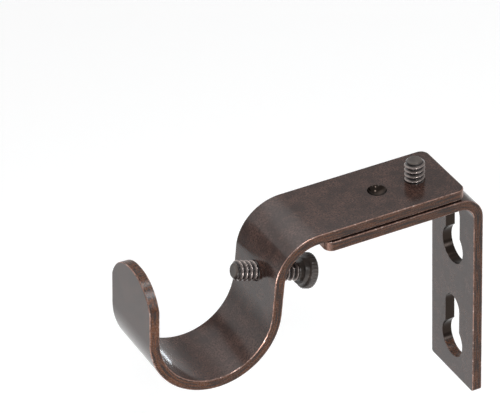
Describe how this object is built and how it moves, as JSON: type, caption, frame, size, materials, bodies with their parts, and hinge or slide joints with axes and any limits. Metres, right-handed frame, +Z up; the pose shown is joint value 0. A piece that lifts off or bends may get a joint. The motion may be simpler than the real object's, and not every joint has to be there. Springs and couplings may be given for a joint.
{
  "type": "curtain pole bracket",
  "caption": "Adjustable bracket that holds a curtain pole off a wall: keyhole plate with a slotted arm, sliding hook with an open cradle, and thumb screws that lock the slide and the pole.",
  "frame": {"origin": "middle of the plate's back face, in the plane of the wall", "axes": "+Y into the wall, so that the hook reaches out along -Y; +X along the pole; +Z up"},
  "size_m": [0.019, 0.0836, 0.0621],
  "materials": {
    "strap_finish": "satin dark bronze over steel strap",
    "screw_finish": "satin blackened steel"
  },
  "bodies": {
    "wall_bracket": {"wall_bracket": "strap_finish"},
    "hook_arm": {"hook_arm": "strap_finish"},
    "lock_screw": {"lock_screw": "screw_finish"},
    "rod_screw": {"rod_screw": "screw_finish"}
  },
  "joints": [
    {"name": "hook_slide", "type": "slide", "parent": "wall_bracket", "child": "hook_arm", "axis": [0, -1, 0], "range_m": [-0.0005, 0.0115]},
    {"name": "lock_screw_turn", "type": "slide", "parent": "hook_arm", "child": "lock_screw", "axis": [0, 0, 1], "range_m": [-0.003, 0]},
    {"name": "rod_screw_turn", "type": "slide", "parent": "hook_arm", "child": "rod_screw", "axis": [0, -0.9472, 0.3206], "range_m": [-0.0055, 0.0075]}
  ]
}
